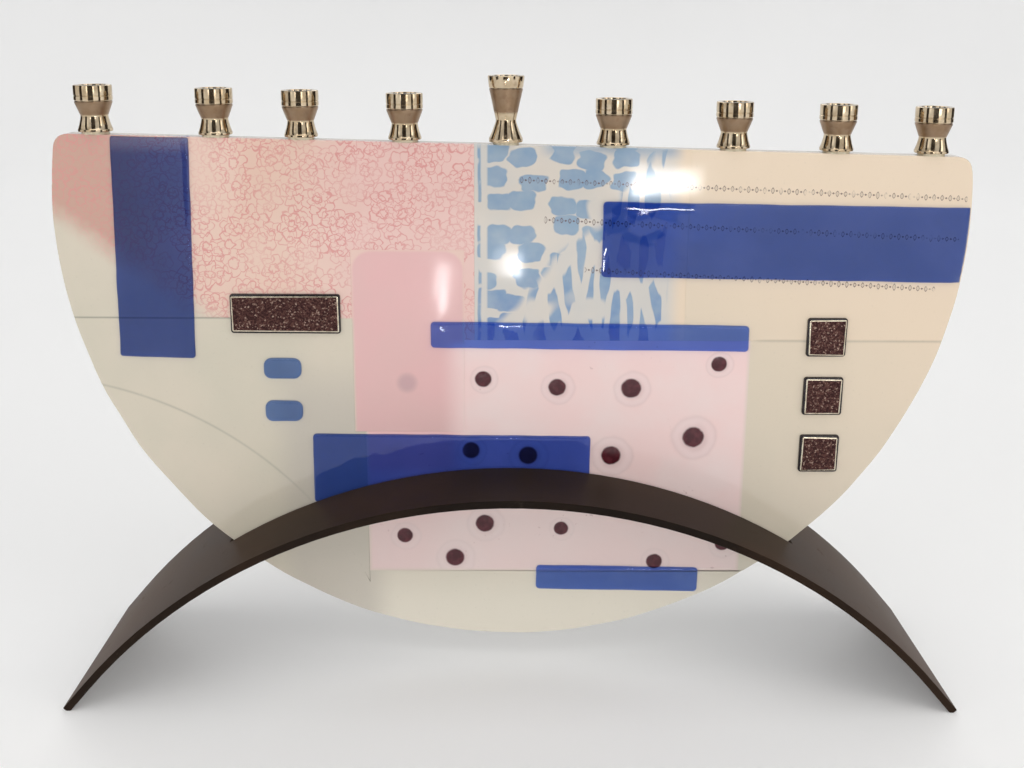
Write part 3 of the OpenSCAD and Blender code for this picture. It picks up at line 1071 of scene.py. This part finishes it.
def tile_cap(node, skew):
    """The coated front of a tile, its cut edges marked as rim. skew turns its uneven corners."""
    mesh = merged_copy(node)
    layer = mesh.faces.layers.float.new("rim")
    front_y = min(v.co.y for v in mesh.verts)
    front = [f for f in mesh.faces if f.normal.y < -0.9]
    bmesh.ops.delete(mesh, geom=[f for f in mesh.faces if f not in front], context="FACES")
    low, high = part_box(node)
    middle = (low + high) / 2
    for number, vert in enumerate(mesh.verts):
        to_middle = middle - vert.co
        inward = Vector((math.copysign(cap_inset, to_middle.x), 0, math.copysign(cap_inset, to_middle.z)))
        uneven = Vector((math.sin(number * 2.1 + skew), 0, math.cos(number * 1.7 + skew))) * 0.18
        vert.co += (inward + uneven) * MM
    solid = bmesh.ops.extrude_face_region(mesh, geom=mesh.faces[:])
    back = [v for v in solid["geom"] if isinstance(v, bmesh.types.BMVert)]
    for vert in back:
        vert.co.y += 0.7 * MM
    bmesh.ops.recalc_face_normals(mesh, faces=mesh.faces)
    corners = [e for e in mesh.edges if abs(e.verts[0].co.y - e.verts[1].co.y) > 0.5 * MM]
    bevel_edges(mesh, corners, 0.45, 3)
    outline = [e for e in mesh.edges if all(abs(v.co.y - front_y) < SAME_PLACE for v in e.verts)]
    for face in bevel_edges(mesh, outline, 0.6, 1)["faces"]:
        face[layer] = 1.0
    for vert in mesh.verts:
        if 0.1 * MM < vert.co.y - front_y <= 0.5 * MM:
            vert.co.y -= 0.28 * MM
    for face in mesh.faces:
        if abs(face.normal.y) < 0.2:
            face[layer] = 1.0
    return mesh


black, glitter = black_glass(), glitter_metal()
cap_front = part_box("metal_bar")[0].y
cap_inset = 0.75
for number, node in enumerate(["metal_bar", "metal_tile_upper", "metal_tile_middle", "metal_tile_lower"]):
    base, cap = tile_base(node, cap_front), tile_cap(node, number * 1.3)
    show(base, node + "_black_base", "panel", black, [node], 40, False)
    show(cap, node + "_cap", "panel", glitter, [], 20, False)

# %% [markdown]
# ## The candle cups
# The cups are turned on a lathe: a flared foot, a narrow waist, a cone that opens upwards and
# a polished band with a groove under the lip. Half of the section, drawn from the middle of
# the foot round to the bottom of the bore, is spun about the cup's own axis. The height is
# kept on every vertex, so that turning lines run round the cup wherever it stands.


# %% Cup sections, in millimetres
small_cup = [
    (0, 0), (5.9, 0), (6.22, 0.08), (6.35, 0.3), (6.35, 0.95), (6.22, 1.12), (5.62, 2.9), (5.18, 4.7),
    (5.02, 5.5), (5.02, 6.1), (5.16, 6.5), (6.2, 9.2), (6.82, 10.9), (6.86, 11.2), (6.74, 11.36),
    (6.74, 11.62), (6.9, 11.78), (7.0, 11.95), (7.0, 13.3), (6.88, 13.42), (6.88, 13.66), (7.0, 13.78),
    (7.0, 17.1), (6.93, 17.36), (6.7, 17.5), (5.15, 17.5), (4.97, 17.42), (4.9, 17.2), (4.9, 9.5),
    (0, 8.3),
]
tall_cup = [
    (0, 0), (6.0, 0), (6.38, 0.1), (6.5, 0.35), (6.5, 1.35), (6.36, 1.6), (5.3, 3.9), (4.45, 6.2),
    (3.96, 7.6), (3.9, 8.1), (3.96, 8.7), (4.6, 11.6), (5.5, 15.9), (6.34, 19.6), (6.4, 19.9),
    (6.28, 20.06), (6.28, 20.34), (6.42, 20.5), (6.54, 20.7), (6.98, 24.4), (6.96, 24.75), (6.75, 25),
    (5.15, 25), (4.97, 24.92), (4.9, 24.7), (4.9, 18), (0, 16.8),
]


def foot_of(node):
    """The middle of the foot of a solid."""
    low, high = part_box(node)
    return Vector(((low.x + high.x) / 2, (low.y + high.y) / 2, low.z))


def cup(node, section):
    """A cup turned to a section, where its solid stands."""
    profile = [(radius * MM, up * MM) for radius, up in section]
    return turned(profile, foot_of(node), Vector((0, 0, 1)), 72, "height", [up for _, up in section])


# %% [markdown]
# The metal is pale, between nickel and brass. The lathe left fine rings on the cone, and a
# buffing wheel polished the foot and the band. Candle wax and hands have dulled it a little.


# %% Cup metal
def cup_metal(name, band_foot):
    """The metal of a cup. band_foot is the height, in mm, of the groove under its band."""
    finish = Finish(name)
    height = finish.kept("height")
    rings = (height * 17.0).cosine() * 0.5 + (height * 41.0).cosine() * 0.35
    cone = height.eased(band_foot * 0.52, band_foot * 0.58) * height.eased(band_foot + 0.1, band_foot - 0.1)
    warm = finish.blend(finish.noise(4.0, 3.0).eased(0.35, 0.7), tone(212, 194, 166), tone(192, 170, 138))
    dull = finish.noise(2.2, 4.0).eased(0.5, 0.75)
    colour = finish.blend(dull * 0.4, warm, tone(142, 112, 88))
    colour = finish.blend(cone * 0.75, colour, tone(126, 96, 72))
    groove = band(height, band_foot, 0.5, 0.12)
    colour = finish.blend(groove * 0.35, colour, tone(96, 74, 58))
    rough = cone * 0.20 + dull * 0.10 + 0.07 + finish.noise(1.2) * 0.05
    return finish.done(finish.coat({
        "Base Color": colour, "Metallic": 1.0, "Roughness": rough,
        "Normal": finish.bump(rings * (cone * 0.9 + 0.1) + finish.noise(0.7) * 0.25, 0.010),
    }))


small_metal, tall_metal = cup_metal("cup_metal", 11.5), cup_metal("helper_metal", 20.2)
for number in range(1, 9):
    node = f"candle_cup_{number}"
    show(cup(node, small_cup), f"turned_cup_{number}", "panel", small_metal, [node], 28, False)
helper = cup("helper_cup", tall_cup)
show(helper, "turned_helper_cup", "panel", tall_metal, ["helper_cup"], 28, False)

# %% [markdown]
# Clear glue holds each cup on the rounded edge. A little of it squeezed out under the foot,
# so a bead is spun with a hollow side, as a liquid leaves between two surfaces.


# %% Glue beads
def glue():
    finish = Finish("clear_glue")
    cloud = finish.noise(1.5, 3.0)
    colour = finish.blend(cloud.eased(0.35, 0.7), tone(226, 218, 196), tone(200, 188, 162))
    return finish.done(finish.coat({
        "Base Color": colour, "Roughness": cloud * 0.15 + 0.08, "IOR": 1.47,
        "Normal": finish.bump(cloud, 0.05),
    }))


bead_section = [
    (0, 0.0), (5.15, 0.0), (5.0, -0.2), (4.95, -0.35), (5.1, -0.6), (5.0, -1.1), (4.0, -1.6), (0, -1.6),
]
bead_depth, inside_glass = 0.9 * MM, 3.9 * MM
beads = []
for node in [f"candle_cup_{number}" for number in range(1, 9)] + ["helper_cup"]:
    foot = foot_of(node)
    profile = [(radius * MM, up * MM) for radius, up in bead_section]
    bead = turned(profile, foot, Vector((0, 0, 1)), 40, "height", [0] * len(profile))
    for vert in bead.verts:
        if vert.co.z < foot.z - bead_depth:
            vert.co.y = max(-inside_glass, min(inside_glass, vert.co.y))
    beads.append(bead)
show(joined(beads), "glue_drops", "panel", glue(), ["glue_beads"], 40, False)

# %% [markdown]
# ## The stand
# The stand is one flat bar, bent into an arch, with a slot sawn along its crown. The sheared
# edges were only broken with a file, so they get a small bevel, enough to catch the light.
# The black coating is satin and goes brownish and paler where the light grazes it.


# %% Stand
def black_coating():
    finish = Finish("black_coating")
    cloud = finish.noise(60.0, 3.0)
    colour = finish.blend(cloud.eased(0.35, 0.7), tone(27, 23, 21), tone(46, 35, 28))
    orange_peel = finish.noise(1.1, 2.0) + finish.noise(0.45, 1.0) * 0.4
    scuff = finish.noise(8.0, 4.0, roughness=0.7).eased(0.62, 0.72)
    colour = finish.blend(scuff * 0.25, colour, tone(70, 62, 55))
    return finish.done(finish.coat({
        "Base Color": colour, "Roughness": cloud * 0.12 + 0.36 + scuff * 0.12,
        "Specular IOR Level": 0.05, "Specular Tint": (1.0, 0.72, 0.54),
        "Sheen Weight": 0.10, "Sheen Roughness": 0.45, "Sheen Tint": (0.85, 0.50, 0.32),
        "Normal": finish.bump(orange_peel, 0.018),
    }))


stand = merged_copy("stand_arch")
sharp = [e for e in stand.edges if len(e.link_faces) == 2 and e.calc_face_angle(0) > math.radians(40)]
bevel_edges(stand, sharp, 0.4, 3)
show(stand, "bent_bar_stand", "stand", black_coating(), ["stand_arch"], 40, True)

# %% [markdown]
# ## The studio
# The object stands on a seamless cove: floor and wall are one sheet, spun round from a
# section with a large curve, so that no corner shows from any side.

# %% Cove
cove_reach, cove_curve, cove_height, cove_steps = 3.0, 1.2, 5.0, 12
section = [(0.0, 0.0), (cove_reach - cove_curve, 0.0)]
for step in range(1, cove_steps + 1):
    angle = step / cove_steps * math.pi / 2
    section.append((
        cove_reach - cove_curve + cove_curve * math.sin(angle), cove_curve * (1 - math.cos(angle)),
    ))
section.append((cove_reach, cove_height))
cove_mesh = turned(section, Vector((0, 0, 0)), Vector((0, 0, 1)), 96, "height", [0] * len(section))
paper = Finish("pale_paper")
paper_colour = paper.blend(paper.noise(300.0, 2.0), (0.86, 0.86, 0.86), (0.83, 0.83, 0.83))
paper_finish = paper.done(paper.coat({
    "Base Color": paper_colour, "Roughness": 0.9,
    "Emission Color": (1.0, 1.0, 1.0), "Emission Strength": 0.12,
}))
cove = object_from(cove_mesh, "pale_cove", paper_finish)


# %% [markdown]
# The light is a large soft box overhead and a little in front, a long box in front, a fill on
# each side and one behind. Three small lamps, which only glossy surfaces see, draw the
# highlights on the glass. Dark cards stand in front and on both sides. They are there only
# for the polished metal, which needs something dark to mirror, so the camera and the soft
# light pass through them.


# %% Lights and cards
def soft_light(name, place, aim, width, height, power, colour):
    """A lamp with a flat face. Only glossy surfaces see the ones that draw a glint."""
    data = bpy.data.lights.new(name, "AREA")
    data.shape = "RECTANGLE"
    data.size, data.size_y = width, height
    data.energy = power
    data.color = colour
    light = bpy.data.objects.new(name, data)
    scene.collection.objects.link(light)
    towards = (Vector(aim) - Vector(place)).to_track_quat("-Z", "Y")
    light.matrix_world = Matrix.Translation(place) @ towards.to_matrix().to_4x4()
    light.visible_camera = False
    light.visible_diffuse = light.visible_transmission = not name.startswith("glint")
    print("light", name, power, "W")


white = (1.0, 1.0, 1.0)
lamps = [
    ("overhead_box", (0.1, -0.7, 2.5), (0, 0, 0.1), 2.6, 2.2, 20, (1.0, 0.985, 0.96)),
    ("front_box", (0.1, -2.4, 0.5), (0, 0, 0.12), 2.0, 0.8, 11.5, (1.0, 0.98, 0.95)),
    ("left_fill", (-2.0, -1.5, 1.1), (0, 0, 0.15), 1.4, 1.4, 2.5, (0.95, 0.97, 1.0)),
    ("right_fill", (2.1, -1.2, 1.0), (0, 0, 0.15), 1.0, 1.4, 6.5, (1.0, 0.96, 0.9)),
    ("back_fill", (0.0, 2.0, 1.6), (0, 0, 0.15), 2.0, 1.0, 9, white),
    ("glint_round", (0.0035, -0.5, 0.0635), (0.002, 0, 0.174), 0.012, 0.012, 0.018, white),
    ("glint_wide", (0.128, -0.5, 0.134), (0.058, 0, 0.2), 0.060, 0.014, 0.085, white),
    ("glint_tall", (-0.0590, -0.5, 0.038), (-0.0285, 0, 0.161), 0.005, 0.045, 0.017, white),
]
for lamp in lamps:
    soft_light(*lamp)

card_finish = Finish("dark_card")
card_colour = card_finish.blend(card_finish.noise(200.0), (0.012, 0.008, 0.006), (0.03, 0.02, 0.013))
card_material = card_finish.done(card_finish.coat({"Base Color": card_colour, "Roughness": 0.8}))
cards = [
    ("card_front", -0.05, -1.05, 0.62), ("card_left", -1.0, -0.62, 0.34), ("card_right", 1.0, -0.75, 0.30),
    ("card_far_left", -1.15, 0.5, 0.7), ("card_far_right", 1.15, 0.45, 0.7),
]
for name, x, y, width in cards:
    mesh = bmesh.new()
    bmesh.ops.create_grid(mesh, x_segments=1, y_segments=1, size=0.5)
    bmesh.ops.scale(mesh, vec=(width, 1.5, 1.0), verts=mesh.verts)
    facing = Vector((x, y, 0)).to_track_quat("Z", "Y").to_matrix().to_4x4()
    bmesh.ops.transform(mesh, matrix=Matrix.Translation((x, y, 0.7)) @ facing, verts=mesh.verts)
    card = object_from(mesh, name, card_material)
    card.visible_camera = card.visible_diffuse = card.visible_shadow = card.visible_transmission = False

world = bpy.data.worlds.new("studio_air")
world.use_nodes = True
world.node_tree.nodes["Background"].inputs["Color"].default_value = (0.9, 0.92, 0.95, 1.0)
world.node_tree.nodes["Background"].inputs["Strength"].default_value = 0.22
scene.world = world
scene.view_settings.view_transform = "Standard"
